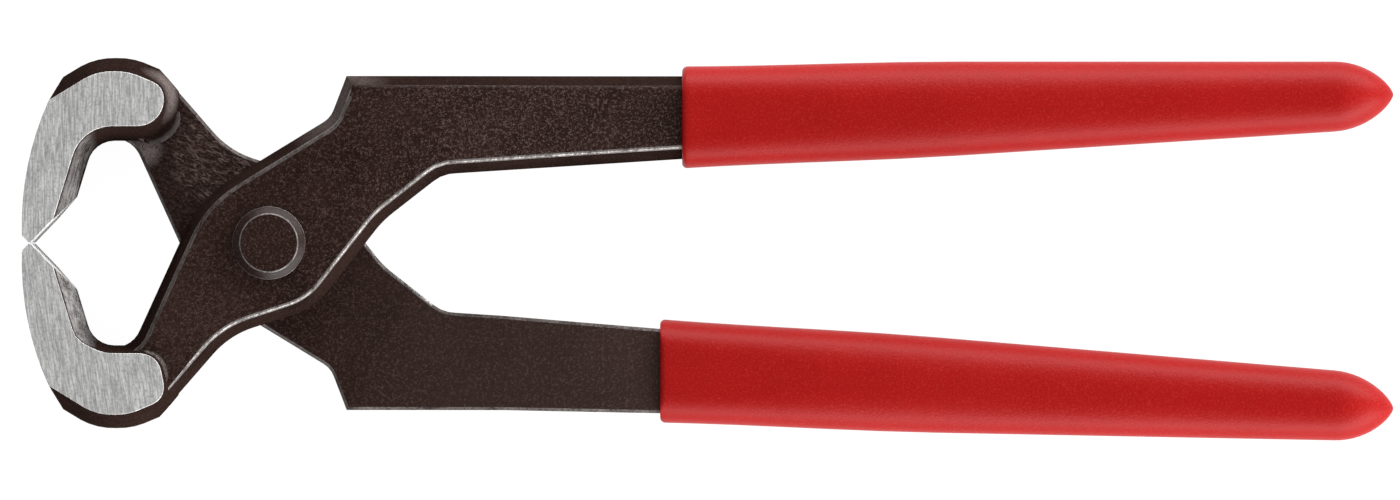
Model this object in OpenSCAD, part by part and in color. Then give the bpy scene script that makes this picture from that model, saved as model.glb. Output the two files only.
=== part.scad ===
// End cutting nippers of the carpenter's pattern. Two like forged levers lap on one rivet, and each
// handle wears a vinyl grip. Sizes are in millimetres. The closed tool lies on its jaws: X runs along
// the handles, Y across them and Z along the rivet, and the origin is below the middle of its box.
// Each lever is drawn about the rivet's axis and the plane between the two lap plates.

/* [Overall] */
// Length over the jaws and the grips
overall_l = 200; // [180:1:230]
// Width across the backs of both jaws
head_w = 54.2; // [52:0.1:58]

/* [Jaws] */
// Thickness of the jaws, which is the length of the cutting edges
jaw_t = 22; // [20:0.5:26]
// Rivet axis to the foremost point of the ground front
jaw_reach = 35.9; // [34:0.1:38]
// Radius of the ground front
front_r = 44; // [40:0.5:52]
// Distance of the front's centre from the closing line
front_drop = 2.6; // [1:0.1:4]
// Cutting edge behind the foremost point of the front
edge_set = 1; // [0.8:0.1:2]
// Flat on the cutting edge
edge_land = 0.3; // [0.1:0.05:0.6]
// Gap between the closed cutting edges
edge_gap = 0.15; // [0.1:0.01:0.4]
// Angle of the small bevel in front of the cutting edge
front_bevel_a = 47; // [35:1:60]
// Angle of the long bevel behind the cutting edge
bevel_a = 46; // [40:1:52]
// Depth of the throat from the closing line
throat_depth = 14.9; // [13:0.1:16]
// Radius at the bottom of the throat
throat_r = 3.9; // [2.5:0.1:4.5]
// Rivet axis to the foot of the throat's front wall
throat_front = 25.6; // [25:0.1:27]
// Lean of the throat's front wall
throat_lean = 17; // [10:1:22]
// Rivet axis to the crotch where the necks cross
crotch_x = 13.2; // [12.5:0.1:14]
// Slope of the jaw's heel behind the front
heel_a = 31.5; // [25:0.5:38]
// Rivet axis to the front end of the jaw's back
back_front = 25.7; // [25:0.1:27]
// Rivet axis to the rear end of the jaw's back
back_rear = 20; // [19:0.1:21]
// Radius at both ends of the jaw's back
back_r = 10; // [6:0.5:12]
// Rivet axis to the end of the jaw block on the neck
block_end = 13.1; // [12.5:0.1:13.5]
// Radius of the jaw block's end on the throat side
block_r = 6.1; // [5:0.1:6.4]
// Radius of the jaw block's end on the back side
block_back_r = 4.6; // [4:0.1:5]
// Straight length of the jaw block's end, measured to its back corner
block_drop = 3.2; // [2.8:0.1:3.5]
// Draft of the forged walls
draft_a = 11; // [7:0.5:13]
// Draft of the throat's floor on the outer face's side
floor_draft_a = 6; // [4:0.5:11]
// Reach of the fillet at the foot of the jaw block
foot_l = 1.3; // [0.6:0.1:1.8]
// Height of the fillet at the foot of the jaw block
foot_h = 1.6; // [0.8:0.1:2]

/* [Joint] */
// Radius of the lap boss round the rivet
boss_r = 11; // [10:0.1:12]
// Thickness of each lap plate
plate_t = 8; // [7:0.1:9]
// Gap between the lap plates
lap_gap = 0.1; // [0.06:0.01:0.2]
// Diameter of the rivet's shank
rivet_d = 8; // [6.5:0.1:9]
// Clearance of the rivet, all round and under its rear head
rivet_fit = 0.05; // [0.02:0.01:0.1]
// Diameter of the rivet's heads at the plate
head_d = 10.8; // [10:0.1:13]
// Diameter of the flat on the rivet's heads
head_flat_d = 8.4; // [7:0.1:9.5]
// Height of the rivet's heads
head_h = 1; // [0.6:0.1:1.6]

/* [Necks] */
// Direction of the neck's edge in the throat
neck_in_a = 65.5; // [62:0.5:69]
// Direction of the neck's edge behind the jaw
neck_back_a = 49; // [46:0.5:52]
// Rivet axis to the line of that edge
neck_back_d = 4.4; // [4:0.1:4.8]
// Radius from the throat edge into the boss
neck_in_r = 18; // [12:1:22]
// Radius from the back edge into the boss
neck_back_r = 13; // [6:0.5:16]

/* [Handles] */
// Rivet axis to the shoulder, along the handle
shoulder_x = 11.2; // [10:0.1:12]
// Rivet axis to the handle's outer edge
shoulder_y = 24.4; // [23:0.1:26]
// Slope of the shoulder's face
shoulder_a = 69; // [64:1:74]
// Radius at the foot of the shoulder
shoulder_r = 3.5; // [2:0.5:5]
// Direction of the boss edge that runs up to the shoulder
boss_up_a = 31.4; // [28:0.2:35]
// Direction of the boss edge below the rivet
boss_low_a = 18; // [14:1:22]
// Direction of the boss edge that runs out to the handle
boss_side_a = 52; // [48:1:56]
// Rivet axis to the crook under the handle's root, along the handle
root_x = 25.2; // [24:0.1:27]
// Rivet axis to the crook under the handle's root, across the handle
root_y = 10.05; // [9:0.05:11]
// Direction of the edge that runs into the crook
root_a = 38; // [35:0.5:41]
// Radius of that edge beside the boss
root_side_r = 15; // [8:1:20]
// Radius of the crook
root_r = 5; // [3:0.5:7]
// Slope of the handle's inner edge
bar_taper_a = 3.65; // [3:0.05:4]
// Thickness of the handle where the grip starts
bar_t = 8.4; // [7:0.1:10]
// Thickness of the handle at its end
bar_end_t = 6.8; // [6:0.1:8]
// Small bevel along the inner face
edge_bevel = 0.45; // [0.2:0.05:0.8]
// Start of the ramp from the lap plate to the handle
ramp_start = 15; // [14.5:0.5:17]
// Level stretch of the handle between that ramp and the grips
level_l = 5; // [4.5:0.5:9]
// Start of the rear handle's extra splay
splay_x = 34; // [31:1:40]
// Extra outward splay of the rear handle
rear_splay_a = 1.1; // [0.2:0.1:1.6]

/* [Grips] */
// Rivet axis to the front grip's mouth
front_mouth = 60.2; // [58:0.1:70]
// Rivet axis to the rear grip's mouth
rear_mouth = 57; // [57:0.1:70]
// Wall of the grip at its mouth
grip_wall = 1.4; // [1.35:0.05:2]
// Wall of the grip where the hand holds it
grip_full_wall = 2.1; // [1.5:0.05:2.6]
// Length over which the wall swells from the mouth
swell_l = 40; // [20:1:70]
// Length of the rounded tip
tip_l = 8.6; // [6:0.1:11]
// Taper of that tip, where 1 is an ellipse and more is sharper
tip_taper = 1.4; // [1:0.1:1.8]
// Length of solid vinyl past the end of the handle
tip_solid = 7; // [6:0.1:10]
// Rounding of the grip's mouth
lip_r = 0.45; // [0.2:0.05:0.5]
// Squareness of the grip's section, where 2 is an ellipse
grip_square = 3.8; // [3.5:0.1:4.5]
// Clearance between a handle and its grip
grip_fit = 0.05; // [0.02:0.01:0.1]

/* [Hidden] */
$fn = 96;
forged = "#2e2826";
vinyl = "#c4201c";

bury = 0.3;          // depth by which joined forms of one forging run into each other
spare = 4;           // length by which a form runs past the cut that trims it
trim = 0.1;          // height of the trimmed jaw block over the neck's back edge
end_share = 0.99;    // share of an end side that its only rounded corner may use
inner_share = 0.49;  // share of a side that each of its two rounded corners may use
crook_share = 0.6;   // place of the last neck station on the way from the boss to the crook
seam = 0.2;          // width of the facet where both sides of the jaw block meet
foot_fade = 4;       // how quickly the foot's fillet fades round the jaw block
floor_from = 0.3;    // how far a wall faces the closing line where the floor's own draft begins
face_share = 0.5;    // share of the foot's fillet on the outer face of the plate
tip_turn = 80;       // turn of the tip's rounding up to its closing facet
tip_point = 0.04;    // share of the section left in that facet
corner_steps = 12;   // chords in a rounded corner
neck_steps = 64;     // stations from the jaw to the shoulder
root_steps = 10;     // stations under the shoulder
bar_steps = 12;      // stations along the handle
jaw_steps = 40;      // stations round the jaw
grip_steps = 14;     // stations along a grip
tip_steps = 8;       // stations round a grip's tip
half_ring = 17;      // points on each side of a grip's section

handle_x = overall_l - jaw_reach;
bar_end = handle_x - tip_solid;
ramp_end = min(front_mouth, rear_mouth) - level_l;
tip_start = handle_x - tip_l;
edge_x = jaw_reach - edge_set;
half_gap = edge_gap / 2;
lap_z = lap_gap / 2;
rise = tan(draft_a);

// Small geometry helpers
function mix(a, b, t) = a + (b - a) * t;
function smooth(t) = let (c = max(0, min(1, t))) c * c * (3 - 2 * c);
function unit(v) = v / norm(v);
function turned(v, a) = [v.x * cos(a) - v.y * sin(a), v.x * sin(a) + v.y * cos(a)];
function heading(a) = [cos(a), sin(a)];
function last(list) = list[len(list) - 1];

// A straight line is [direction, distance of the origin on its right]
function line_at(p, a) = [a, turned(heading(a), 90) * p];
function meet(l, m) = (heading(m[0]) * l[1] - heading(l[0]) * m[1]) / sin(m[0] - l[0]);

// Path through [x, y, radius] corners, each rounded as far as its two sides allow
function corner(a, p, b, share_a, share_b) =
    let (
        o = [p.x, p.y],
        u = unit([a.x, a.y] - o),
        v = unit([b.x, b.y] - o),
        half = acos(max(-1, min(1, u * v))) / 2,
        room = min(share_a * norm([a.x, a.y] - o), share_b * norm([b.x, b.y] - o)),
        run = min(p.z / tan(half), room),
        r = run * tan(half),
        centre = o + unit(u + v) * r / sin(half),
        side = u.x * v.y - u.y * v.x > 0 ? -1 : 1,
        spoke = o + u * run - centre
    )
    [for (k = [0:corner_steps]) centre + turned(spoke, side * (180 - 2 * half) * k / corner_steps)];
function rounded(pts) = [
    [pts[0].x, pts[0].y],
    for (i = [1:len(pts) - 2])
        each corner(
            pts[i - 1], pts[i], pts[i + 1],
            i == 1 ? end_share : inner_share,
            i == len(pts) - 2 ? end_share : inner_share
        ),
    [last(pts).x, last(pts).y]
];
function vertex(p, r) = [p.x, p.y, r];

// The same path as equal steps along its length
function run_lengths(path) = [
    for (i = 0, s = 0; i < len(path); i = i + 1, s = i < len(path) ? s + norm(path[i] - path[i - 1]) : s) s
];
function point_at(path, runs, s) =
    let (
        i = max([for (k = [0:len(path) - 2]) if (runs[k] <= s) k]),
        step = runs[i + 1] - runs[i]
    )
    mix(path[i], path[i + 1], step > 0 ? (s - runs[i]) / step : 0);
function stepped(path, n) =
    let (runs = run_lengths(path))
    [for (k = [0:n]) k == n ? last(path) : point_at(path, runs, last(runs) * k / n)];

// Inward mitre at each point of a rail, with the metal on its right (side -90) or its left (side 90)
function mitre(rail, i, side) =
    let (
        before = i > 0 ? rail[i] - rail[i - 1] : rail[1] - rail[0],
        after = i < len(rail) - 1 ? rail[i + 1] - rail[i] : before,
        n = turned(unit(before), side),
        m = turned(unit(after), side)
    )
    (n + m) / (1 + n * m);

// Closed solid through rings of paired points: the left half from low to high, then the right half down
module skin(rings) {
    m = len(rings[0]);
    half = m / 2;
    end = len(rings) - 1;
    function id(i, j) = i * m + j % m;
    walls = [
        for (i = [0:end - 1], j = [0:m - 1])
            each [
                [id(i, j), id(i + 1, j), id(i + 1, j + 1)],
                [id(i, j), id(i + 1, j + 1), id(i, j + 1)]
            ]
    ];
    front = [
        for (j = [0:half - 2])
            each [
                [id(0, j), id(0, j + 1), id(0, m - 2 - j)],
                [id(0, j), id(0, m - 2 - j), id(0, m - 1 - j)]
            ]
    ];
    rear = [
        for (j = [0:half - 2])
            each [
                [id(end, j), id(end, m - 2 - j), id(end, j + 1)],
                [id(end, j), id(end, m - 1 - j), id(end, m - 2 - j)]
            ]
    ];
    polyhedron([for (r = rings) each r], concat(walls, front, rear));
}

// Outlines of the front lever, whose jaw is below the closing line and whose handle is above it
throat_wall = line_at([-throat_front, -throat_depth], 90 + throat_lean);
throat_floor = [0, -throat_depth];
neck_floor = [0, -throat_depth - bury];
neck_in = line_at([-crotch_x, 0], neck_in_a);
block_c = [-block_end - block_back_r, -throat_depth - block_r];
neck_back = [neck_back_a, -neck_back_d];
neck_leave = meet(neck_back, line_at(block_c, neck_back_a + 90));
boss_up = [boss_up_a, boss_r];
boss_low = [boss_low_a, -boss_r];
boss_side = [boss_side_a, -boss_r];
shoulder = [shoulder_x, shoulder_y];
root = [root_x, root_y];
root_in = line_at(root, root_a);
beside_boss = meet(boss_side, root_in);
neck_foot = meet(neck_floor, neck_in);
throat_mid = (neck_foot.x - throat_front) / 2;
under_shoulder = mix(beside_boss, root, crook_share);

function splayed(x, a) = max(0, x - splay_x) * tan(a);
function outer_edge(x, a) = shoulder_y + splayed(x, a);
function inner_edge(x, a) = root_y + (x - root_x) * tan(bar_taper_a) + splayed(x, a);

neck_left = stepped(rounded([
    vertex([throat_mid, neck_foot.y], 0),
    vertex(neck_foot, throat_r),
    vertex(meet(neck_in, boss_up), neck_in_r),
    vertex(meet(boss_up, line_at(shoulder, shoulder_a)), shoulder_r),
    vertex(shoulder, 0)
]), neck_steps);
neck_right = stepped(rounded([
    vertex(neck_leave, 0),
    vertex(meet(neck_back, boss_low), neck_back_r),
    vertex(meet(boss_low, boss_side), boss_r),
    vertex(beside_boss, root_side_r),
    vertex(under_shoulder, 0)
]), neck_steps);
root_left = stepped([shoulder, [splay_x, shoulder_y]], root_steps);
root_right = stepped(rounded([
    vertex(under_shoulder, 0),
    vertex(root, root_r),
    vertex([splay_x, inner_edge(splay_x, 0)], 0)
]), root_steps);

function rest(list) = [for (i = [1:len(list) - 1]) list[i]];
function bar_xs(from) = [for (k = [0:bar_steps]) mix(from, bar_end, k / bar_steps)];
function left_rail(a) =
    concat(neck_left, rest(root_left), rest([for (x = bar_xs(splay_x)) [x, outer_edge(x, a)]]));
function right_rail(a) =
    concat(neck_right, rest(root_right), rest([for (x = bar_xs(splay_x)) [x, inner_edge(x, a)]]));

// Faces of the lever over x: the lap plate, then a gentle ramp to a handle in line with its twin
function bar_half(x) = mix(bar_t, bar_end_t, max(0, (x - ramp_end) / (bar_end - ramp_end))) / 2;
function ramp(x) = smooth((x - ramp_start) / (ramp_end - ramp_start));
function top_z(x) = mix(plate_t, bar_half(x), ramp(x));
function low_z(x) = mix(lap_z, -bar_half(x), ramp(x));

// Half a section of the drafted bar at a rail's point, low to high, grown all round by grow
function bar_side(p, n, grow) =
    let (
        low = low_z(p.x) - grow,
        top = top_z(p.x) + grow,
        out = p - n * grow,
        crest = out + n * rise * (top - low - edge_bevel),
        toe = out + n * edge_bevel
    )
    [[toe.x, toe.y, low], [out.x, out.y, low + edge_bevel], [crest.x, crest.y, top]];
function flipped(list) = [for (i = [len(list) - 1:-1:0]) list[i]];
function bar_ring(left, right, i, grow) = concat(
    bar_side(left[i], mitre(left, i, -90), grow),
    flipped(bar_side(right[i], mitre(right, i, 90), grow))
);
module bar(left, right, grow) {
    skin([for (i = [0:len(left) - 1]) bar_ring(left, right, i, grow)]);
}

// The jaw block: a drafted forging about the parting plane, with a fillet where it stands on the neck,
// ground in front, bevelled to the cutting edge and trimmed level with the neck's back edge
block_split = [-block_end, block_c.y];
front_x = jaw_reach + spare;
past_jaw = jaw_t + 2 * spare;
block_left = stepped(rounded([
    vertex(meet(throat_wall, [0, spare]), 0),
    vertex(meet(throat_wall, throat_floor), throat_r),
    vertex([-block_end, -throat_depth], block_r),
    vertex(block_split + [0, seam / 2], 0)
]), jaw_steps);
heel = line_at([-back_front, -head_w / 2], -heel_a);
block_right = stepped(rounded([
    vertex([-front_x, spare], 0),
    vertex(meet(heel, [90, front_x]), 0),
    vertex([-back_front, -head_w / 2], back_r),
    vertex([-back_rear, -head_w / 2], back_r),
    vertex(block_split - [0, block_drop], block_back_r),
    vertex(block_split - [0, seam / 2], 0)
]), jaw_steps);

function block_mitre(rail, i, side) = i == jaw_steps ? [-1, 0] : mitre(rail, i, side);
function fillet_share(p, n) =
    smooth((p.x - throat_mid) / block_r) * smooth(1 - (1 + n * unit(-block_c) / norm(n)) * foot_fade);
function wall_rise(n, z) =
    z < 0 ? rise : mix(rise, tan(floor_draft_a), smooth((-n.y / norm(n) - floor_from) / (1 - floor_from)));
function block_side(p, n) =
    let (flare = foot_l * fillet_share(p, n))
    [
        for (level = [
            [-jaw_t / 2, 0],
            [-foot_h, 0],
            [bury, flare],
            [plate_t - bury, flare * face_share],
            [plate_t + foot_h * face_share, 0],
            [jaw_t / 2, 0]
        ])
            let (q = p + n * (wall_rise(n, level[0]) * abs(level[0]) - level[1]))
            [q.x, q.y, level[0]]
    ];
module jaw_block() {
    far = jaw_reach + edge_x;
    difference() {
        skin([
            for (i = [0:jaw_steps])
                concat(
                    block_side(block_left[i], block_mitre(block_left, i, -90)),
                    flipped(block_side(block_right[i], block_mitre(block_right, i, 90)))
                )
        ]);
        linear_extrude(height = past_jaw, center = true)
            polygon([
                [-edge_x - far * cos(front_bevel_a), -half_gap - far * sin(front_bevel_a)],
                [-edge_x, -half_gap],
                [-edge_x + edge_land, -half_gap],
                [throat_mid, -half_gap - (throat_mid + edge_x - edge_land) * tan(bevel_a)],
                [throat_mid, far],
                [-edge_x - far * cos(front_bevel_a), far]
            ]);
        translate([neck_leave.x, neck_leave.y, -past_jaw / 2])
            rotate([0, 0, neck_back_a])
                translate([-past_jaw, -past_jaw - trim, 0])
                    cube([2 * past_jaw, past_jaw, past_jaw]);
        front_cut();
    }
}

// What the grinding of the front takes away
module front_cut() {
    linear_extrude(height = past_jaw, center = true)
        difference() {
            translate([-front_x - spare, -head_w])
                square([front_x + spare - back_front, 2 * head_w]);
            translate([front_r - jaw_reach, -front_drop])
                circle(r = front_r);
        }
}

module lever(splay_a) {
    color(forged)
        union() {
            difference() {
                bar(left_rail(splay_a), right_rail(splay_a), 0);
                cylinder(d = rivet_d + 2 * rivet_fit, h = 3 * plate_t, center = true);
            }
            jaw_block();
        }
}

// A grip: rounded sections a wall away from the handle, a rounded mouth and a blunt closed tip
function wall_at(x, mouth) = mix(grip_wall, grip_full_wall, smooth((x - mouth) / swell_l));
function power(v, e) = sign(v) * pow(abs(v), e);
function grip_ring(x, shrink, size, mouth, a) =
    let (
        wall = wall_at(x, mouth) - shrink,
        y1 = outer_edge(x, a) + wall,
        y0 = inner_edge(x, a) - wall,
        half = bar_half(min(x, bar_end)) + wall,
        e = 2 / grip_square
    )
    [
        for (side = [1, -1], k = [0:half_ring - 1])
            let (t = side * (-90 + 180 * (k + 0.5) / half_ring))
            [
                x,
                (y1 + y0) / 2 + side * size * (y1 - y0) / 2 * power(cos(t), e),
                size * half * power(sin(t), e)
            ]
    ];
module grip(mouth, a) {
    lip = [for (t = [0, 30, 60]) [mouth + lip_r * (1 - cos(t)), lip_r * (1 - sin(t)), 1]];
    body = [for (k = [0:grip_steps]) [mix(mouth + lip_r, tip_start, k / grip_steps), 0, 1]];
    tip = [
        for (k = [1:tip_steps])
            let (t = tip_turn * k / tip_steps)
            [tip_start + tip_l * sin(t), 0, pow(cos(t), tip_taper)]
    ];
    end = [[handle_x, 0, tip_point]];
    xs = concat([mouth - spare], bar_xs(mouth + spare));
    color(vinyl)
        difference() {
            skin([for (s = concat(lip, body, tip, end)) grip_ring(s[0], s[1], s[2], mouth, a)]);
            bar(
                [for (x = xs) [x == bar_end ? x + grip_fit : x, outer_edge(x, a)]],
                [for (x = xs) [x == bar_end ? x + grip_fit : x, inner_edge(x, a)]],
                grip_fit
            );
        }
}

module rivet() {
    color(forged)
        rotate_extrude()
            polygon([
                [0, -plate_t - rivet_fit - head_h],
                [head_flat_d / 2, -plate_t - rivet_fit - head_h],
                [head_d / 2, -plate_t - rivet_fit],
                [rivet_d / 2, -plate_t - rivet_fit],
                [rivet_d / 2, plate_t],
                [head_d / 2, plate_t],
                [head_flat_d / 2, plate_t + head_h],
                [0, plate_t + head_h]
            ]);
}

// The frame: the rear half is turned over about the tool's length
function grip_side(mouth, a) = outer_edge(tip_start, a) + wall_at(tip_start, mouth);
front_side = grip_side(front_mouth, 0);
rear_side = grip_side(rear_mouth, rear_splay_a);
middle_x = overall_l / 2 - jaw_reach;
middle_y = (max(front_side, head_w / 2) - max(rear_side, head_w / 2)) / 2;
module in_frame() {
    translate([-middle_x, -middle_y, jaw_t / 2]) children();
}
module turned_over() {
    in_frame() rotate([180, 0, 0]) children();
}

module front_lever() {
    in_frame() lever(0);
}
module rear_lever() {
    turned_over() lever(rear_splay_a);
}
module pivot_rivet() {
    in_frame() rivet();
}
module front_grip() {
    in_frame() grip(front_mouth, 0);
}
module rear_grip() {
    turned_over() grip(rear_mouth, rear_splay_a);
}

front_lever();
rear_lever();
pivot_rivet();
front_grip();
rear_grip();
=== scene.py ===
import math

import bmesh
import bpy
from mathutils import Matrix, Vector


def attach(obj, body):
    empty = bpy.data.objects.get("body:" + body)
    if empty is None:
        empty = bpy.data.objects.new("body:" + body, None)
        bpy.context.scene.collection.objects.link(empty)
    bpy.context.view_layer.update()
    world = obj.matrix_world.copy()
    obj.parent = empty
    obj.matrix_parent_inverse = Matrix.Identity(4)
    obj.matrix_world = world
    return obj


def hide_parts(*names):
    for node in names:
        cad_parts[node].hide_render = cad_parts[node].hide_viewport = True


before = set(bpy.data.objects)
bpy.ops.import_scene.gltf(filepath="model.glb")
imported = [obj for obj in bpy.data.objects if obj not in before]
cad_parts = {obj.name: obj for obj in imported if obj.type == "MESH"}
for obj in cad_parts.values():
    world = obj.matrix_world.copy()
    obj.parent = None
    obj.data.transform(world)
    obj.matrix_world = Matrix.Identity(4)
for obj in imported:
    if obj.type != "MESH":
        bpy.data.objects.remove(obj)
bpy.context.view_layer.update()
mm = 0.001
hair = 0.01 * mm  # points closer than this are at the same place
pivot = Vector((-64.1, 0.874, 11.0)) * mm
print("frame loaded")


def inMm(*lengths):
    return tuple(length * mm for length in lengths)


# mesh helpers

def workOn(obj):
    if bpy.context.mode != "OBJECT":
        bpy.ops.object.mode_set(mode="OBJECT")
    bpy.ops.object.select_all(action="DESELECT")
    bpy.context.view_layer.objects.active = obj
    obj.select_set(True)


def editOn(obj):
    workOn(obj)
    bpy.ops.object.mode_set(mode="EDIT")


def editOff():
    bpy.ops.object.mode_set(mode="OBJECT")


def pick(obj, kind, test):
    bpy.ops.mesh.select_mode(type=kind)
    bpy.ops.mesh.select_all(action="DESELECT")
    mesh = bmesh.from_edit_mesh(obj.data)
    mesh.normal_update()
    items = {"VERT": mesh.verts, "EDGE": mesh.edges, "FACE": mesh.faces}[kind]
    picked = [item for item in items if test(item)]
    for item in picked:
        item.select_set(True)
    bmesh.update_edit_mesh(obj.data)
    return len(picked)


def pickVerts(obj, test):
    return pick(obj, "VERT", test)


def pickEdges(obj, test):
    return pick(obj, "EDGE", test)


def pickFaces(obj, test):
    return pick(obj, "FACE", test)


def paintFaces(obj, index, test):
    count = pickFaces(obj, test)
    obj.active_material_index = index
    bpy.ops.object.material_slot_assign()
    return count


def applyAll(obj):
    workOn(obj)
    for modifier in list(obj.modifiers):
        bpy.ops.object.modifier_apply(modifier=modifier.name)


def roundEdges(obj, width, steps, angle):
    bevel = obj.modifiers.new("edgeRound", "BEVEL")
    bevel.width = width
    bevel.segments = steps
    bevel.limit_method = "ANGLE"
    bevel.angle_limit = angle
    bevel.use_clamp_overlap = True
    applyAll(obj)


def smoothFaces(obj, angle):
    workOn(obj)
    bpy.ops.object.shade_smooth_by_angle(angle=angle)
    weighted = obj.modifiers.new("faceWeight", "WEIGHTED_NORMAL")
    weighted.keep_sharp = True
    applyAll(obj)


# node helpers

def addNode(tree, kind, links=(), **values):
    node = tree.nodes.new(kind)
    for key, value in values.items():
        setattr(node, key, value)
    for name, source in links:
        if hasattr(source, "is_linked"):
            tree.links.new(source, node.inputs[name])
        else:
            node.inputs[name].default_value = source
    return node


def noise(tree, vector, scale, detail, roughness, distortion=0.0):
    links = [("Vector", vector), ("Scale", scale), ("Detail", detail)]
    links += [("Roughness", roughness), ("Distortion", distortion)]
    return addNode(tree, "ShaderNodeTexNoise", links).outputs["Fac"]


def remap(tree, value, low, high, outLow=0.0, outHigh=1.0):
    links = [("Value", value), ("From Min", low), ("From Max", high)]
    links += [("To Min", outLow), ("To Max", outHigh)]
    return addNode(tree, "ShaderNodeMapRange", links).outputs["Result"]


def maths(tree, kind, first, second):
    return addNode(tree, "ShaderNodeMath", [(0, first), (1, second)], operation=kind).outputs["Value"]


def times(tree, first, second):
    return maths(tree, "MULTIPLY", first, second)


def blendColor(tree, factor, first, second):
    node = addNode(tree, "ShaderNodeMix", data_type="RGBA")
    for index, value in ((0, factor), (6, first), (7, second)):  # factor and the two colour inputs
        if hasattr(value, "is_linked"):
            tree.links.new(value, node.inputs[index])
        elif index == 0:
            node.inputs[index].default_value = value
        else:
            node.inputs[index].default_value = (*value, 1.0)
    return node.outputs[2]


def objectCoords(tree):
    return addNode(tree, "ShaderNodeTexCoord").outputs["Object"]


def objectAxes(tree):
    return addNode(tree, "ShaderNodeSeparateXYZ", [("Vector", objectCoords(tree))]).outputs


def stretched(tree, turn, size):  # a pattern laid along a turned direction, size in metres
    links = [("Vector", objectCoords(tree)), ("Rotation", (0.0, 0.0, turn)), ("Scale", size)]
    return addNode(tree, "ShaderNodeMapping", links, vector_type="TEXTURE").outputs["Vector"]


def nearTo(tree, place, inner, outer):  # 1 within inner of a place, 0 beyond outer
    links = [(0, objectCoords(tree)), (1, place)]
    gap = addNode(tree, "ShaderNodeVectorMath", links, operation="DISTANCE").outputs["Value"]
    return remap(tree, gap, inner, outer, 1.0, 0.0)


def newGroup(name, inputs, outputs):
    tree = bpy.data.node_groups.new(name, "ShaderNodeTree")
    for label, value in inputs.items():
        socket = tree.interface.new_socket(label, in_out="INPUT", socket_type="NodeSocketFloat")
        socket.default_value = value
    for label in outputs:
        tree.interface.new_socket(label, in_out="OUTPUT", socket_type="NodeSocketFloat")
    return tree, tree.nodes.new("NodeGroupInput").outputs, tree.nodes.new("NodeGroupOutput").inputs


def useGroup(tree, group, values):
    node = addNode(tree, "ShaderNodeGroup", node_tree=group)
    for label, value in values.items():
        node.inputs[label].default_value = value
    return node.outputs


def newMaterial(name):
    material = bpy.data.materials.new(name)
    material.use_nodes = True
    tree = material.node_tree
    tree.nodes.clear()
    output = addNode(tree, "ShaderNodeOutputMaterial")
    shader = addNode(tree, "ShaderNodeBsdfPrincipled")
    tree.links.new(shader.outputs["BSDF"], output.inputs["Surface"])
    return material, tree, shader


def finishShader(tree, shader, base, rough, height, values):
    tree.links.new(base, shader.inputs["Base Color"])
    tree.links.new(rough, shader.inputs["Roughness"])
    links = [("Height", height), ("Strength", values["bump"]), ("Distance", values["bumpDepth"])]
    bump = addNode(tree, "ShaderNodeBump", links)
    tree.links.new(bump.outputs["Normal"], shader.inputs["Normal"])
    shader.inputs["Specular IOR Level"].default_value = values["specular"]


# shared effects

blastValues = {
    "pits": {"detail": 2.5, "roughness": 0.6},
    "fine": {"scale": 5200.0, "detail": 2.0, "roughness": 0.5},
    "patch": {"detail": 4.0, "roughness": 0.6},
    "fold": {"scale": 1.0, "detail": 2.0, "roughness": 0.55, "distortion": 0.9},
    "foldTurn": math.radians(-28),
    "foldSize": inMm(1.3, 0.62, 1.0),
    "patchRange": (0.34, 0.66),
    "fleckRange": (0.24, 0.44),
    "fineHeight": 0.5,
}


def makeBlastGrain(values):  # shot-blast pits about half a millimetre wide over slow patches
    inputs = {"pitScale": 2000.0, "patchScale": 90.0}
    tree, taken, given = newGroup("blastGrain", inputs, ("patch", "fleck", "height", "fold"))
    vector = objectCoords(tree)
    pits = noise(tree, vector, taken["pitScale"], **values["pits"])
    fine = noise(tree, vector, **values["fine"])
    patch = noise(tree, vector, taken["patchScale"], **values["patch"])
    fold = noise(tree, stretched(tree, values["foldTurn"], values["foldSize"]), **values["fold"])
    height = maths(tree, "ADD", pits, times(tree, fine, values["fineHeight"]))
    tree.links.new(remap(tree, patch, *values["patchRange"]), given["patch"])
    tree.links.new(remap(tree, times(tree, pits, fine), *values["fleckRange"]), given["fleck"])
    tree.links.new(height, given["height"])
    tree.links.new(fold, given["fold"])
    return tree


beltValues = {
    "line": {"detail": 3.0, "roughness": 0.65},
    "cloud": {"scale": 260.0, "detail": 3.0, "roughness": 0.5},
    "speck": {"scale": 2400.0, "detail": 2.0, "roughness": 0.5},
    "stretch": (1.0, 0.08, 1.0),
    "speckRange": (0.48, 0.7),
}


def makeGrindLines(values):  # belt lines a quarter of a millimetre apart, along Y before they are turned
    inputs = {"turn": 0.0, "lines": 4800.0}
    tree, taken, given = newGroup("grindLines", inputs, ("line", "cloud", "speck"))
    coords = objectCoords(tree)
    links = [("Vector", coords), ("Angle", taken["turn"])]
    turned = addNode(tree, "ShaderNodeVectorRotate", links, rotation_type="Z_AXIS").outputs["Vector"]
    links = [("Vector", turned), ("Scale", values["stretch"])]
    spread = addNode(tree, "ShaderNodeMapping", links).outputs["Vector"]
    speck = noise(tree, coords, **values["speck"])
    tree.links.new(noise(tree, spread, taken["lines"], **values["line"]), given["line"])
    tree.links.new(noise(tree, coords, **values["cloud"]), given["cloud"])
    tree.links.new(remap(tree, speck, *values["speckRange"]), given["speck"])
    return tree


blastGrain = makeBlastGrain(blastValues)
grindLines = makeGrindLines(beltValues)


# black scale, with lighter patches as (place, full within, none beyond, colour); those on the rear neck and
# on the drafted walls are painted light

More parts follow.
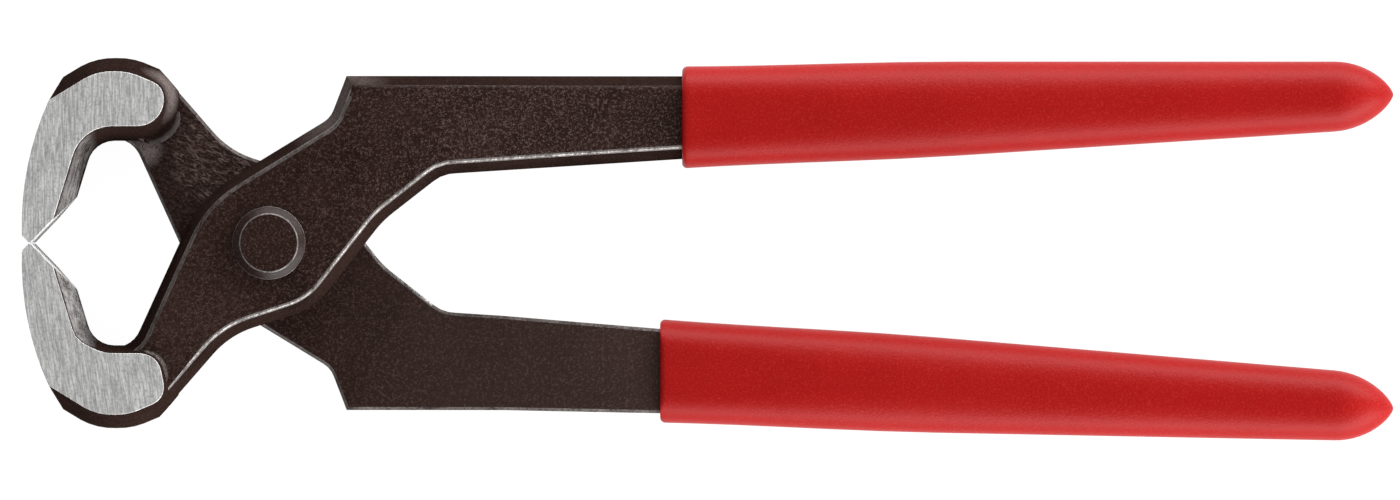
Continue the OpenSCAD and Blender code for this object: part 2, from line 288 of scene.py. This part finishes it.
forgingValues = {
    "deep": (0.014, 0.0054, 0.004),
    "warm": (0.0265, 0.0108, 0.0082),
    "fleck": (0.112, 0.072, 0.061),
    "speckle": 0.85,
    "handled": (0.06, 0.036, 0.03),
    "handledSpan": inMm(-60.0, -38.0),
    "handledShare": 0.04,
    "handledSpeckle": 0.55,
    # painted glint: the ridges of the hammer folds are painted this lighter colour
    "fold": (0.17, 0.115, 0.1),
    "foldGlintRange": (0.5, 0.62, 0.0, 0.85),
    "wrinkle": 0.0,
    "rough": (0.48, 0.62),
    "specular": 0.09,
    "bump": 0.6,
    "bumpDepth": 0.09 * mm,
    "lighterPatches": ((inMm(-76.0, -11.0, 19.0), 4.0 * mm, 14.0 * mm, (0.038, 0.0185, 0.0145)),),
    "lighterPatchBreakup": (0.62, 0.86, 0.35, 1.0),
    "grain": {"pitScale": 2500.0, "patchScale": 110.0},
}
rearForgingValues = dict(
    forgingValues,
    handledShare=0.55,
    handledSpeckle=0.0,
    wrinkle=9.0,
    wrinklePlace=(inMm(-72.5, 13.0, 11.0), 5.0 * mm, 12.0 * mm),
    lighterPatches=(
        # painted light lifting the rear neck where the front lever shades it
        (inMm(-74.0, 13.0, 11.0), 3.0 * mm, 13.0 * mm, (0.054, 0.03, 0.0245)),
        # painted highlight on the foot fillet at the throat edge
        (inMm(-82.4, 14.5, 11.0), 0.8 * mm, 3.0 * mm, (0.5, 0.42, 0.4)),
    ),
    grain={"pitScale": 2300.0, "patchScale": 120.0},
)
wallValues = dict(
    forgingValues,
    deep=(0.0165, 0.0086, 0.007),
    warm=(0.029, 0.0155, 0.0128),
    fleck=(0.08, 0.055, 0.047),
    handledShare=0.0,
    handledSpeckle=0.0,
    speckle=0.5,
    rough=(0.65, 0.75),
    specular=0.0,
    bump=0.35,
    lighterPatches=(
        # painted light on the front handle's shoulder wall
        (inMm(-54.6, 21.6, 15.0), 2.5 * mm, 9.0 * mm, (0.17, 0.137, 0.127)),
        # painted highlight on the upper jaw's wall at its shoulder
        (inMm(-78.9, 23.1, 16.0), 2.0 * mm, 5.2 * mm, (0.24, 0.2, 0.192)),
    ),
)
slopeValues = dict(forgingValues, lighterPatches=(), speckle=0.5, rough=(0.36, 0.46), specular=0.26, bump=0.3)


def blackForging(name, values):
    material, tree, shader = newMaterial(name)
    grain = useGroup(tree, blastGrain, values["grain"])
    base = blendColor(tree, grain["patch"], values["deep"], values["warm"])
    held = remap(tree, objectAxes(tree)["X"], *values["handledSpan"])  # rubbed lighter by hands
    base = blendColor(tree, times(tree, held, values["handledShare"]), base, values["handled"])
    # each lighter patch, broken up by the grain; several are painted light or painted highlights
    for place, inner, outer, color in values["lighterPatches"]:
        broken = remap(tree, grain["height"], *values["lighterPatchBreakup"])
        near = times(tree, nearTo(tree, place, inner, outer), broken)
        base = blendColor(tree, near, base, color)
    speckle = maths(tree, "ADD", times(tree, held, values["handledSpeckle"]), values["speckle"])
    base = blendColor(tree, times(tree, grain["fleck"], speckle), base, values["fleck"])
    height = grain["height"]
    if values["wrinkle"]:  # coarse folds left by the hammer on one side of the neck, with painted glints on their ridges
        folds = times(tree, grain["fold"], nearTo(tree, *values["wrinklePlace"]))
        height = maths(tree, "ADD", height, times(tree, folds, values["wrinkle"]))
        base = blendColor(tree, remap(tree, folds, *values["foldGlintRange"]), base, values["fold"])
    rough = remap(tree, grain["patch"], 0.0, 1.0, *values["rough"])
    finishShader(tree, shader, base, rough, height, values)
    return material


# bright ground steel

groundValues = {
    "pale": (0.95, 0.945, 0.94),
    "dull": (0.5, 0.495, 0.49),
    "lineRange": (0.36, 0.64),
    "pit": (0.3, 0.295, 0.29),
    "pitting": 0.45,
    "metal": 0.62,
    "specular": 0.5,
    "cloudRange": (0.3, 0.7),
    "rough": (0.48, 0.6),
    "bump": 0.2,
    "bumpDepth": 0.04 * mm,
    "lines": {"turn": 0.0, "lines": 4800.0},
}
lowerGroundValues = dict(groundValues, lines={"turn": math.radians(-8), "lines": 4800.0})
cutValues = dict(groundValues, dull=(0.8, 0.795, 0.79), metal=0.0, specular=0.0)


def groundSteel(name, values):
    material, tree, shader = newMaterial(name)
    lines = useGroup(tree, grindLines, values["lines"])
    base = blendColor(tree, remap(tree, lines["line"], *values["lineRange"]), values["dull"], values["pale"])
    base = blendColor(tree, times(tree, lines["speck"], values["pitting"]), base, values["pit"])
    rough = remap(tree, lines["cloud"], *values["cloudRange"], *values["rough"])
    finishShader(tree, shader, base, rough, lines["line"], values)
    shader.inputs["Metallic"].default_value = values["metal"]
    return material


# scale that is partly rubbed or ground off down to the steel; dimmer and lighter copies of it paint shade
# and light, and one paints highlights on the jaw feet

rubbedValues = {
    "bare": (0.46, 0.43, 0.415),
    "patchWeight": 0.4,
    "fleckWeight": 0.5,
    "lineWeight": 1.4,
    "worn": (0.4, 1.3),
    "fade": None,  # where along the tool the lighter share ends, from full to none; in the dimmer copy that share is painted light
    "bands": (),  # how far from the parting plane it starts, from none to full
    "rough": (0.32, 0.5),
    "specular": 0.5,
    "metal": 0.8,
    "bump": 0.4,
    "bumpDepth": 0.09 * mm,
    "grain": {"pitScale": 1800.0, "patchScale": 300.0},
    "lines": {"turn": 0.3, "lines": 3000.0},
}
# dimmer copy of the rubbed edge: painted shade on rims that face away from the lower strip, and a painted
# highlight on the jaw-foot slopes
shadedRimAndLitFootValues = dict(
    rubbedValues,
    bare=(0.25, 0.22, 0.208),
    worn=(0.45, 1.5),
    specular=0.15,
    metal=0.25,
    fade=inMm(-82.0, -84.3),
)
# painted highlight along the jaw-block foot, brightest at the parting plane
footHighlightValues = dict(shadedRimAndLitFootValues, worn=(0.2, 1.1), fade=None, bands=(inMm(1.1, 0.15),))
scrapedValues = dict(
    rubbedValues,
    bare=(0.38, 0.355, 0.345),
    worn=(0.5, 1.15),
    rough=(0.45, 0.65),
    specular=0.0,
    fade=inMm(-92.2, -89.2),
    bands=(inMm(0.2, 1.6), inMm(10.5, 9.6)),
)
# lighter copy of the throat finish: painted light on the lower jaw's throat wall
litLowerScrapedValues = dict(scrapedValues, bare=(0.58, 0.555, 0.545))


def wornSteel(name, values):
    material, tree, shader = newMaterial(name)
    grain = useGroup(tree, blastGrain, values["grain"])
    lines = useGroup(tree, grindLines, values["lines"])
    share = times(tree, grain["patch"], values["patchWeight"])
    share = maths(tree, "SUBTRACT", share, times(tree, grain["fleck"], values["fleckWeight"]))
    share = maths(tree, "ADD", share, times(tree, lines["line"], values["lineWeight"]))
    share = remap(tree, share, *values["worn"])
    if values["fade"]:
        share = times(tree, share, remap(tree, objectAxes(tree)["X"], *values["fade"], 1.0, 0.0))
    for band in values["bands"]:
        level = maths(tree, "SUBTRACT", objectAxes(tree)["Z"], pivot.z)
        share = times(tree, share, remap(tree, maths(tree, "ABSOLUTE", level, 0.0), *band))
    coat = useGroup(tree, blastGrain, wallValues["grain"])
    dark = blendColor(tree, coat["patch"], wallValues["deep"], wallValues["warm"])
    dark = blendColor(tree, times(tree, coat["fleck"], wallValues["speckle"]), dark, wallValues["fleck"])
    base = blendColor(tree, share, dark, values["bare"])
    rough = remap(tree, grain["fleck"], 0.0, 1.0, *values["rough"])
    finishShader(tree, shader, base, rough, grain["height"], values)
    tree.links.new(remap(tree, share, 0.0, 1.0, 0.0, values["metal"]), shader.inputs["Metallic"])
    return material


# dipped vinyl

vinylValues = {
    "red": (0.43, 0.005, 0.0036),
    "deepRed": (0.385, 0.004, 0.003),
    "cloud": {"scale": 45.0, "detail": 4.0, "roughness": 0.55},
    "cloudRange": (0.32, 0.68),
    "paleRed": (0.6, 0.035, 0.03),
    "sparkle": 0.4,
    "sparkleRange": (0.5, 0.72),
    "grain": {"scale": 3200.0, "detail": 3.0, "roughness": 0.6},
    "grainRange": (0.3, 0.7),
    "rough": (0.38, 0.48),
    "ripple": {"scale": 380.0, "detail": 2.0, "roughness": 0.5},
    "rippleHeight": 0.9,
    "specular": 0.19,
    "bump": 0.5,
    "bumpDepth": 0.08 * mm,
}


def redVinyl(name, values):
    material, tree, shader = newMaterial(name)
    vector = objectCoords(tree)
    cloud = remap(tree, noise(tree, vector, **values["cloud"]), *values["cloudRange"])
    grain = noise(tree, vector, **values["grain"])
    ripple = noise(tree, vector, **values["ripple"])
    base = blendColor(tree, cloud, values["deepRed"], values["red"])
    sparkle = remap(tree, grain, *values["sparkleRange"], 0.0, values["sparkle"])
    base = blendColor(tree, sparkle, base, values["paleRed"])
    rough = remap(tree, grain, *values["grainRange"], *values["rough"])
    height = maths(tree, "ADD", grain, times(tree, ripple, values["rippleHeight"]))
    finishShader(tree, shader, base, rough, height, values)
    return material


frontForging = blackForging("frontForging", forgingValues)
rearForging = blackForging("rearForging", rearForgingValues)
draftedWall = blackForging("draftedWall", wallValues)
rivetSlope = blackForging("rivetSlope", slopeValues)
rubbedEdge = wornSteel("rubbedEdge", rubbedValues)
shadedRimAndLitFoot = wornSteel("shadedRimAndLitFoot", shadedRimAndLitFootValues)
upperGround = groundSteel("upperJawGround", groundValues)
lowerGround = groundSteel("lowerJawGround", lowerGroundValues)
cutBevel = groundSteel("cuttingBevel", cutValues)
footFilletHighlight = wornSteel("footFilletHighlight", footHighlightValues)
upperThroat = wornSteel("upperThroat", scrapedValues)
litLowerThroat = wornSteel("litLowerThroat", litLowerScrapedValues)
vinyl = redVinyl("redVinyl", vinylValues)
print("materials made")


# levers; their zones are measured from the pivot, and slants are shares of the normal along the rivet

leverValues = {
    "crestRound": (0.48 * mm, 4),  # width and steps
    "flushRound": (0.24 * mm, 3),
    "groundRound": (0.1 * mm, 2),
    "flatAngle": math.radians(1.0),
    "sharpAngle": math.radians(33),
    "smoothAngle": math.radians(38),
    "squareAngle": math.radians(60),
    "foldAngle": math.radians(150),
    "jawTop": 22.0 * mm,
    "sideSlack": 0.05 * mm,
    "sideSlant": 0.99,
    "frontReach": 27.5 * mm,
    "frontSlant": 0.02,
    "wallSlant": 0.28,
    "throatReach": 19.0 * mm,
    "throatHalf": 19.0 * mm,
    "facing": 0.3,
    "rivetZone": 5.0 * mm,
    "footAlong": inMm(-22.0, -12.0),
    "footAcross": inMm(12.0, 23.0),
    "footSlant": (0.3, 0.93),
    "footEdges": inMm(-23.0, -12.7),
    "footEdgeLevel": 2.5 * mm,
    "lapLevel": 3.0 * mm,
    "chamferSlant": (0.55, 0.85),
    "uprightShare": 0.7,
    "shadedRimFacing": (0.5, -0.4),
    "shadedUpperRimFrom": inMm(11.9, 19.0),
}


def isBetween(value, limits):
    return limits[0] < value < limits[1]


def faceSpot(face):
    return face.calc_center_median() - pivot


def edgeSpot(edge):
    return (edge.verts[0].co + edge.verts[1].co) / 2 - pivot


def leverPiece(nodeName, pieceName, outward, forging, ground, throat, values):
    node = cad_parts[nodeName]
    piece = bpy.data.objects.new(pieceName, node.data.copy())
    bpy.context.scene.collection.objects.link(piece)
    coats = {
        "forging": forging,
        "ground": ground,
        "rubbed": rubbedEdge,
        "throat": throat,
        "wall": draftedWall,
        "shadeAndFootLight": shadedRimAndLitFoot,
        "cut": cutBevel,
        "foot": footFilletHighlight,
    }
    piece.data.materials.clear()
    for material in coats.values():
        piece.data.materials.append(material)
    slots = {name: index for index, name in enumerate(coats)}

    def hasCoat(face, *names):
        return face.material_index in [slots[name] for name in names]

    def onSide(face):
        level = face.calc_center_median().z
        atEnd = min(level, values["jawTop"] - level) < values["sideSlack"]
        return atEnd and abs(face.normal.z) > values["sideSlant"]

    def onFront(face):
        return faceSpot(face).x < -values["frontReach"] and abs(face.normal.z) < values["frontSlant"]

    def onCut(face):
        return onFront(face) and face.normal.x > values["facing"]

    def onGround(face):
        return onSide(face) or onFront(face)

    def onWall(face):
        return abs(face.normal.z) < values["wallSlant"]

    def onThroat(face):
        spot = faceSpot(face)
        inside = spot.x < -values["throatReach"] and abs(spot.y) < values["throatHalf"]
        backward = face.normal.x > values["facing"]
        inward = -face.normal.y * spot.y > values["facing"] * abs(spot.y)
        drafted = isBetween(abs(face.normal.z), (values["frontSlant"], values["wallSlant"]))
        return inside and drafted and (backward or inward)

    def onFoot(face):  # the fillet where the jaw block stands on the neck's outer face
        spot = faceSpot(face)
        inside = isBetween(spot.x, values["footAlong"]) and isBetween(abs(spot.y), values["footAcross"])
        return inside and isBetween(abs(face.normal.z), values["footSlant"])

    def onInnerFoot(face):
        return onFoot(face) and abs(faceSpot(face).z) < values["lapLevel"]

    def onChamfer(face):  # the forging's own chamfer round the mating side
        inner = faceSpot(face).z * outward < values["lapLevel"]
        slanted = isBetween(abs(face.normal.z), values["chamferSlant"])
        return inner and slanted and hasCoat(face, "forging", "wall")

    def isShadedRim(face):  # rims facing away from the lower strip, painted with the dimmer finish as painted shade
        if not hasCoat(face, "rubbed"):
            return False
        way = face.normal.xy.normalized()
        back, low = values["shadedRimFacing"]
        if outward < 0:
            return way.x < back or faceSpot(face).x < 0
        return way.x < back and way.y > low

    def isShadedUpperRim(face):  # the front handle's upper rim, painted back to the plain forging as painted shade
        spot = faceSpot(face)
        along, across = values["shadedUpperRimFrom"]
        inside = spot.x > along and spot.y > across
        return outward > 0 and inside and hasCoat(face, "rubbed", "shadeAndFootLight")

    def isFolded(edge):
        return len(edge.link_faces) == 2 and edge.calc_face_angle(0.0) > values["foldAngle"]

    def isSliver(edge):  # the short side of a needle that lies folded on its neighbours
        needles = [face for face in edge.link_faces if sum(isFolded(side) for side in face.edges) > 1]
        return bool(needles) and not isFolded(edge)

    def isSharp(edge):
        if len(edge.link_faces) != 2 or not edge.is_convex:
            return False
        spot = edgeSpot(edge)
        foot = isBetween(spot.x, values["footEdges"]) and abs(spot.z) < values["footEdgeLevel"]
        sharp = isBetween(edge.calc_face_angle(0.0), (values["sharpAngle"], values["foldAngle"]))
        return sharp and not foot and spot.xy.length > values["rivetZone"]

    def isGroundEdge(edge):
        return isSharp(edge) and any(hasCoat(face, "ground", "cut") for face in edge.link_faces)

    def isRim(edge):
        way = edge.verts[1].co - edge.verts[0].co
        upright = abs(way.z) > values["uprightShare"] * way.length
        return isSharp(edge) and not isGroundEdge(edge) and not upright

    def isOuter(edge):
        return edgeSpot(edge).z * outward > values["lapLevel"]

    def isCrest(edge):
        return isRim(edge) and isOuter(edge)

    def isFlush(edge):
        square = edge.calc_face_angle(0.0) > values["squareAngle"]
        return square and isRim(edge) and not isOuter(edge)

    editOn(piece)
    bpy.ops.mesh.select_all(action="SELECT")
    bpy.ops.mesh.remove_doubles(threshold=hair)
    if pickEdges(piece, isSliver):
        bpy.ops.mesh.merge(type="COLLAPSE")
    bpy.ops.mesh.select_all(action="SELECT")
    bpy.ops.mesh.dissolve_limited(angle_limit=values["flatAngle"])
    paintFaces(piece, slots["forging"], lambda face: True)
    zones = (
        ("wall", onWall),
        ("throat", onThroat),
        ("ground", onGround),
        ("cut", onCut),
        # painted highlights on the foot slopes of the jaw block, the inner ones with a line at the parting
        # plane
        ("shadeAndFootLight", onFoot),
        ("foot", onInnerFoot),
        ("rubbed", onChamfer),
    )
    for name, test in zones:
        print(pieceName, name, "faces", paintFaces(piece, slots[name], test))
    rounds = (
        ("crestRound", isCrest, "rubbed"),
        ("flushRound", isFlush, "rubbed"),
        ("groundRound", isGroundEdge, "ground"),
    )
    for label, test, name in rounds:
        width, steps = values[label]
        print(pieceName, label, "edges", pickEdges(piece, test))
        bpy.ops.mesh.bevel(
            offset=width, segments=steps, affect="EDGES", clamp_overlap=False, material=slots[name]
        )
    # painted shade: rims facing away from the lower strip get the dimmer finish, and the front handle's
    # upper rim the plain forging
    paintFaces(piece, slots["shadeAndFootLight"], isShadedRim)
    paintFaces(piece, slots["forging"], isShadedUpperRim)
    editOff()
    smoothFaces(piece, values["smoothAngle"])
    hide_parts(nodeName)
    return piece


frontLever = leverPiece(
    "front_lever", "frontLever", 1, frontForging, lowerGround, litLowerThroat, leverValues
)
rearLever = leverPiece(
    "rear_lever", "rearLever", -1, rearForging, upperGround, upperThroat, leverValues
)
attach(frontLever, "front_half")
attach(rearLever, "rear_half")
print("levers made")


# rivet

rivetValues = {
    "sides": 96,
    "shank": 4.0 * mm,
    "head": 5.4 * mm,
    "flat": 4.2 * mm,
    "headHeight": 1.0 * mm,
    "half": 8.03 * mm,
    "edgeRound": 0.16 * mm,
    "edgeSteps": 3,
    "edgeAngle": math.radians(30),
    "smoothAngle": math.radians(35),
    "edgeSlant": (0.1, 0.99),
    "headSlant": (0.72, 0.84),
}


def rivetPiece(pieceName, values):
    bpy.ops.object.select_all(action="DESELECT")
    bpy.ops.mesh.primitive_cylinder_add(
        vertices=values["sides"], radius=values["shank"], depth=2 * values["half"], location=pivot
    )
    piece = bpy.context.object
    piece.name = pieceName
    bpy.ops.object.transform_apply(location=True, rotation=True, scale=True)
    for material in (frontForging, rubbedEdge, rivetSlope):
        piece.data.materials.append(material)
    editOn(piece)
    for sign in (1, -1):
        level = pivot.z + sign * values["half"]
        middle = (pivot.x, pivot.y, level)

        def onEnd(face):
            return abs(face.calc_center_median().z - level) < hair and face.normal.z * sign > 0.9

        pickFaces(piece, onEnd)
        bpy.ops.mesh.extrude_region_move()
        share = values["head"] / values["shank"]
        bpy.ops.transform.resize(value=(share, share, 1.0), center_override=middle)
        rise = (0, 0, sign * values["headHeight"])
        bpy.ops.mesh.extrude_region_move(TRANSFORM_OT_translate={"value": rise})
        share = values["flat"] / values["head"]
        bpy.ops.transform.resize(value=(share, share, 1.0), center_override=middle)
    editOff()
    roundEdges(piece, values["edgeRound"], values["edgeSteps"], values["edgeAngle"])
    editOn(piece)
    paintFaces(piece, 1, lambda face: isBetween(abs(face.normal.z), values["edgeSlant"]))
    paintFaces(piece, 2, lambda face: isBetween(abs(face.normal.z), values["headSlant"]))
    editOff()
    smoothFaces(piece, values["smoothAngle"])
    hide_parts("pivot_rivet")
    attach(piece, "front_half")


rivetPiece("pivotRivet", rivetValues)
print("rivet made")


# grips; lengths in millimetres from the pivot

gripValues = {
    "outerSide": 24.4,
    "rootX": 25.2,
    "rootY": 10.05,
    "taper": math.radians(3.65),
    "splayX": 34.0,
    "barThick": 8.4,
    "endThick": 6.8,
    "levelEnd": 52.0,
    "barEnd": 157.1,
    "draft": math.tan(math.radians(11)),
    "gap": 0.06,
    "boreCorner": 0.25,
    "boreSteps": (0.0, 20.0, 50.0),
    "wall": 1.4,
    "fullWall": 2.1,
    "swell": 40.0,
    "corner": 4.7,
    "cornerGrowth": 2.0,
    "cornerLimit": 0.48,
    "cornerSteps": 12,
    "mouthSteps": (0.0, 1.4, 3.4, 6.0, 11.0, 17.0, 24.0, 32.0, 40.0),
    "tailSteps": 5,
    "tipStart": 155.5,
    "tipEnd": 164.1,
    "tipTaper": 1.4,
    "tipTurn": math.radians(86),
    "tipSteps": 14,
    "lip": 55.0,
    "lipSteps": 5,
    "smoothAngle": math.radians(50),
}
frontGripValues = dict(gripValues, side=1, mouth=60.2, splay=0.0)
rearGripValues = dict(gripValues, side=-1, mouth=57.0, splay=math.radians(1.1))


def smoothStep(share):
    share = min(1.0, max(0.0, share))
    return share * share * (3.0 - 2.0 * share)


def swollen(x, values):  # 0 at the mouth, 1 where the sleeve has its full wall
    return smoothStep((x - values["mouth"]) / values["swell"])


def barSection(x, values):  # both sides and half the thickness of the handle in the sleeve
    swing = max(0.0, x - values["splayX"]) * math.tan(values["splay"])
    high = values["outerSide"] + swing
    low = values["rootY"] + (x - values["rootX"]) * math.tan(values["taper"]) + swing
    along = min(1.0, (x - values["levelEnd"]) / (values["barEnd"] - values["levelEnd"]))
    half = (values["barThick"] + (values["endThick"] - values["barThick"]) * along) / 2
    return low, high, half


def skinSection(x, share, values):
    low, high, half = barSection(x, values)
    wall = values["wall"] + (values["fullWall"] - values["wall"]) * swollen(x, values)
    middle = (low + high) / 2
    wide = ((high - low) / 2 + wall) * share
    return middle - wide, middle + wide, (half + wall) * share


def boreSection(x, values):
    low, high, half = barSection(x, values)
    return low - values["gap"], high + values["gap"], half + values["gap"]


def bodyStations(values):
    start = values["mouth"] + values["mouthSteps"][-1]
    length = values["tipStart"] - start
    places = [values["mouth"] + step for step in values["mouthSteps"]]
    places += [start + length * step / values["tailSteps"] for step in range(1, values["tailSteps"] + 1)]
    return [(x, skinSection(x, 1.0, values)) for x in places]


def tipStations(values):
    stations = []
    for step in range(1, values["tipSteps"] + 1):
        turn = values["tipTurn"] * step / values["tipSteps"]
        x = values["tipStart"] + (values["tipEnd"] - values["tipStart"]) * math.sin(turn)
        stations.append((x, skinSection(x, math.cos(turn) ** values["tipTaper"], values)))
    return stations


def boreStations(values):
    places = [values["mouth"] + step for step in values["boreSteps"]]
    places.append(values["barEnd"] + values["gap"])
    return [(x, boreSection(x, values)) for x in places]


def cornerSize(x, section, values):
    grown = values["corner"] + values["cornerGrowth"] * swollen(x, values)
    return min(grown, values["cornerLimit"] * (section[1] - section[0]))


def handlePoint(x, y, side):
    return Vector((pivot.x + x * mm, pivot.y + side * y * mm, pivot.z))


def ringStart(name, station, corner, crest, values):
    # a plane across the handle, narrowed on its crest side and rounded at its corners
    x, (low, high, half) = station
    wide = high - low
    side = values["side"]
    middle = handlePoint(x, (low + high) / 2, side)
    bpy.ops.object.select_all(action="DESELECT")
    bpy.ops.mesh.primitive_plane_add(size=1.0, rotation=(0.0, -math.pi / 2, 0.0), location=middle)
    obj = bpy.context.object
    obj.name = name
    obj.scale = (2 * half * mm, wide * mm, 1.0)
    bpy.ops.object.transform_apply(location=True, rotation=True, scale=True)
    editOn(obj)
    if crest:
        pickEdges(obj, lambda edge: all((vert.co.z - pivot.z) * side > 0 for vert in edge.verts))
        bpy.ops.transform.resize(value=(1.0, 1.0 - 2 * crest / wide, 1.0), center_override=middle)
    bpy.ops.mesh.select_all(action="SELECT")
    bpy.ops.mesh.bevel(
        offset=corner * mm,
        segments=values["cornerSteps"],
        affect="VERTICES",
        profile=0.5,
        offset_type="OFFSET",
    )
    pickFaces(obj, lambda face: True)
    return obj


def stepTo(obj, start, end, cornerShare, side):
    # extrudes the end face from one station to the next and resizes it there
    x, (lastLow, lastHigh, lastHalf) = start
    nextX, (low, high, half) = end
    wide = high - low
    lastWide = lastHigh - lastLow
    move = ((nextX - x) * mm, side * (low + high - lastLow - lastHigh) / 2 * mm, 0.0)
    bpy.ops.mesh.extrude_region_move(TRANSFORM_OT_translate={"value": move})
    middle = handlePoint(nextX, (low + high) / 2, side)
    share = cornerShare or wide / lastWide
    bpy.ops.transform.resize(value=(1.0, share, half / lastHalf), center_override=middle)
    if cornerShare:  # the flats between the corners make up the rest of the width
        for sign in (1, -1):

            def onHalf(vert):
                return abs(vert.co.x - middle.x) < hair and (vert.co.y - middle.y) * sign > 0

            pickVerts(obj, onHalf)
            change = sign * (wide - lastWide * share) / 2
            bpy.ops.transform.translate(value=(0.0, change * mm, 0.0))
        pickFaces(obj, lambda face: abs(face.calc_center_median().x - middle.x) < hair)


def tubeAlong(obj, stations, corners, side):
    # the first station is where obj starts; corners has the corner sizes at the first few
    for index in range(len(stations) - 1):
        cornerShare = None
        if index + 1 < len(corners):
            cornerShare = corners[index + 1] / corners[index]
        stepTo(obj, stations[index], stations[index + 1], cornerShare, side)
    startX = handlePoint(stations[0][0], 0, side).x
    pickFaces(obj, lambda face: abs(face.calc_center_median().x - startX) < hair)
    bpy.ops.mesh.delete(type="FACE")
    editOff()


def gripPiece(pieceName, nodeName, body, values):
    side = values["side"]
    skin = bodyStations(values)
    piece = ringStart(pieceName, skin[0], values["corner"], 0.0, values)
    corners = [cornerSize(x, section, values) for x, section in skin]
    tubeAlong(piece, skin + tipStations(values), corners, side)
    inside = boreStations(values)
    crest = 2 * inside[0][1][2] * values["draft"]
    bore = ringStart(pieceName + "Bore", inside[0], values["boreCorner"], crest, values)
    tubeAlong(bore, inside, [], side)
    editOn(bore)
    bpy.ops.mesh.select_all(action="SELECT")
    bpy.ops.mesh.flip_normals()
    editOff()
    workOn(piece)
    bore.select_set(True)
    bpy.ops.object.join()
    editOn(piece)
    pickEdges(piece, lambda edge: edge.is_boundary)
    bpy.ops.mesh.bridge_edge_loops()
    bpy.ops.mesh.select_all(action="SELECT")
    bpy.ops.mesh.normals_make_consistent(inside=False)
    mouthX, (low, high, half) = skin[0]
    middle = handlePoint(mouthX, (low + high) / 2, side)

    def onLip(edge):  # the outer ring of the mouth
        atMouth = all(abs(vert.co.x - middle.x) < hair for vert in edge.verts)
        if len(edge.link_faces) != 2 or not atMouth:
            return False
        wall = min(edge.link_faces, key=lambda face: abs(face.normal.x))
        outward = (edge.verts[0].co + edge.verts[1].co) / 2 - middle
        return abs(wall.normal.x) < 0.5 and wall.normal.dot(outward) > 0

    found = pickEdges(piece, onLip)
    bpy.ops.mesh.bevel(
        offset_type="PERCENT",
        offset_pct=values["lip"],
        segments=values["lipSteps"],
        affect="EDGES",
        profile=0.5,
    )
    editOff()
    piece.data.materials.clear()
    piece.data.materials.append(vinyl)
    workOn(piece)
    bpy.ops.object.shade_smooth_by_angle(angle=values["smoothAngle"])
    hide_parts(nodeName)
    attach(piece, body)
    print(pieceName, "lip edges", found, "faces", len(piece.data.polygons))


gripPiece("frontGrip", "front_grip", "front_half", frontGripValues)
gripPiece("rearGrip", "rear_grip", "rear_half", rearGripValues)
print("grips made")


# stage

stageValues = {
    "distance": 3.0,
    "frameWidth": 204.5 * mm,
    "centre": inMm(-1.28, -0.15),
    "sensor": 36.0,
    "clipEnd": 20.0,
    "floorSize": 4.0,
    "floorGlow": 0.97,
    "floorMatte": 0.12,
    "floorGrey": 0.6,
    "floorRough": 0.9,
    "worldLevel": 0.31,
    "upperStrip": ((0.25, 0.57, 0.19), 7.5),
    "lowerStrip": ((0.38, -0.52, 0.19), 8.4),
    "stripSize": (1.3, 0.35),
    "stripAim": (0.0, 0.0, 0.01),
}


def grey(level):
    return (level, level, level, 1.0)


def addCamera(values):
    camera = bpy.data.cameras.new("topCamera")
    camera.sensor_fit = "HORIZONTAL"
    camera.sensor_width = values["sensor"]
    camera.lens = values["sensor"] * values["distance"] / values["frameWidth"]
    camera.clip_end = values["clipEnd"]
    eye = bpy.data.objects.new("topCamera", camera)
    eye.location = (*values["centre"], pivot.z + values["distance"])
    bpy.context.scene.collection.objects.link(eye)
    bpy.context.scene.camera = eye


def addFloor(values):  # pale where it is seen, grey where it only throws light back
    bpy.ops.object.select_all(action="DESELECT")
    bpy.ops.mesh.primitive_plane_add(size=values["floorSize"], location=(0, 0, 0))
    floor = bpy.context.object
    floor.name = "studioFloor"
    material, tree, shader = newMaterial("paleFloor")
    shader.inputs["Base Color"].default_value = grey(values["floorGrey"])
    shader.inputs["Roughness"].default_value = values["floorRough"]
    shader.inputs["Specular IOR Level"].default_value = 0.0
    glow = addNode(tree, "ShaderNodeEmission", [("Strength", values["floorGlow"])]).outputs["Emission"]
    matte = addNode(tree, "ShaderNodeBsdfDiffuse", [("Color", grey(values["floorMatte"]))]).outputs["BSDF"]
    pale = addNode(tree, "ShaderNodeAddShader", [(0, glow), (1, matte)]).outputs["Shader"]
    path = addNode(tree, "ShaderNodeLightPath").outputs
    seen = maths(tree, "MAXIMUM", path["Is Camera Ray"], path["Is Glossy Ray"])
    seen = maths(tree, "MAXIMUM", seen, path["Is Transmission Ray"])
    mix = addNode(tree, "ShaderNodeMixShader", [(0, seen), (1, shader.outputs["BSDF"]), (2, pale)])
    output = next(node for node in tree.nodes if node.type == "OUTPUT_MATERIAL")
    tree.links.new(mix.outputs["Shader"], output.inputs["Surface"])
    floor.data.materials.append(material)


def addStrip(name, values):
    place, power = values[name]
    light = bpy.data.lights.new(name, "AREA")
    light.shape = "RECTANGLE"
    light.size, light.size_y = values["stripSize"]
    light.energy = power
    obj = bpy.data.objects.new(name, light)
    obj.location = place
    way = Vector(values["stripAim"]) - Vector(place)
    obj.rotation_euler = way.to_track_quat("-Z", "Y").to_euler()
    bpy.context.scene.collection.objects.link(obj)


def addWorld(values):
    world = bpy.data.worlds.new("softWorld")
    world.use_nodes = True
    background = next(node for node in world.node_tree.nodes if node.type == "BACKGROUND")
    background.inputs["Color"].default_value = grey(1.0)
    background.inputs["Strength"].default_value = values["worldLevel"]
    bpy.context.scene.world = world


addCamera(stageValues)
addFloor(stageValues)
addWorld(stageValues)
addStrip("upperStrip", stageValues)
addStrip("lowerStrip", stageValues)
bpy.context.scene.view_settings.view_transform = "Standard"
print("stage made")
